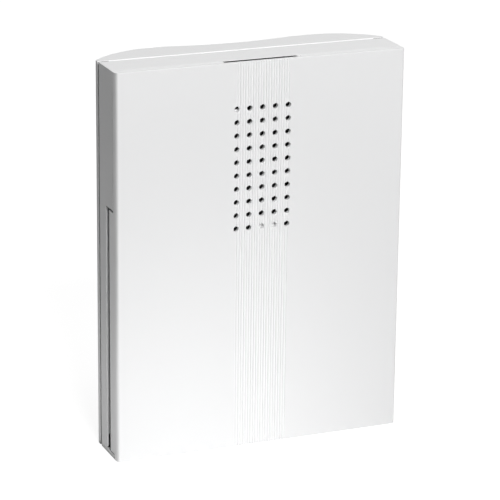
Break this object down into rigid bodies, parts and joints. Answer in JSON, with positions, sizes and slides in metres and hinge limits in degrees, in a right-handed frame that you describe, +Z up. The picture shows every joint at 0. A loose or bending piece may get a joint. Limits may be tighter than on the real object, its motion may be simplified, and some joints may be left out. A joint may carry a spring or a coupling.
{
  "type": "doorbell chime box",
  "caption": "Wall-mounted door chime: a slim white case with a ribbed, perforated lift-off front, tone plates and a sprung solenoid striker.",
  "frame": {"origin": "centre of the four wall screw holes, on the plane of the wall that the back rests on", "axes": "+Z up, +X to the right seen from the front, +Y into the wall, so the front panel faces -Y"},
  "size_m": [0.153, 0.044, 0.2],
  "materials": {
    "case_plastic": "fine moulded satin, white",
    "frame_plastic": "fine moulded satin, white",
    "panel_plastic": "smooth semi-gloss, white",
    "zinc_screw": "zinc plated",
    "tone_steel": "plated, brushed along its length",
    "pin_steel": "drawn wire",
    "grommet_rubber": "matt black",
    "spring_steel": "bright wire",
    "yoke_steel": "zinc plated, punched edges",
    "bobbin_nylon": "natural nylon",
    "enamelled_copper": "enamelled wire in close turns",
    "brass": "drawn brass",
    "core_steel": "turned steel",
    "striker_nylon": "natural nylon",
    "terminal_plastic": "moulded, light grey",
    "tinned_brass": "tinned",
    "lead_insulation": "soft PVC, red"
  },
  "bodies": {
    "case": {"base_shell": "case_plastic", "cover_frame": "frame_plastic", "frame_screws": "zinc_screw", "tone_plate_left": "tone_steel", "tone_plate_right": "tone_steel", "hanger_pins": "pin_steel", "tone_grommets": "grommet_rubber", "pin_clips": "spring_steel", "solenoid_yoke": "yoke_steel", "coil_bobbin": "bobbin_nylon", "coil_winding": "enamelled_copper", "guide_tube": "brass", "yoke_screws": "zinc_screw", "return_spring": "spring_steel", "terminal_block": "terminal_plastic", "terminal_clamps": "brass", "terminal_screws": "zinc_screw", "terminal_block_screws": "zinc_screw", "solder_lugs": "tinned_brass", "coil_lead_left": "lead_insulation", "coil_lead_right": "lead_insulation", "cable_grommet": "grommet_rubber"},
    "plunger": {"plunger_core": "core_steel", "striker_rod_left": "striker_nylon", "striker_rod_right": "striker_nylon", "striker_tip_left": "striker_nylon", "striker_tip_right": "striker_nylon", "spring_collar": "spring_steel"},
    "panel": {"front_panel": "panel_plastic"}
  },
  "joints": [
    {"name": "plunger_slide", "type": "slide", "parent": "case", "child": "plunger", "axis": [1, 0, 0], "range_m": [-0.0087, 0.0027], "stiffness_N_per_m": 60, "deforming": ["return_spring"]},
    {"name": "panel_lift", "type": "slide", "parent": "case", "child": "panel", "axis": [0, -1, 0], "range_m": [0, 0.06]}
  ]
}
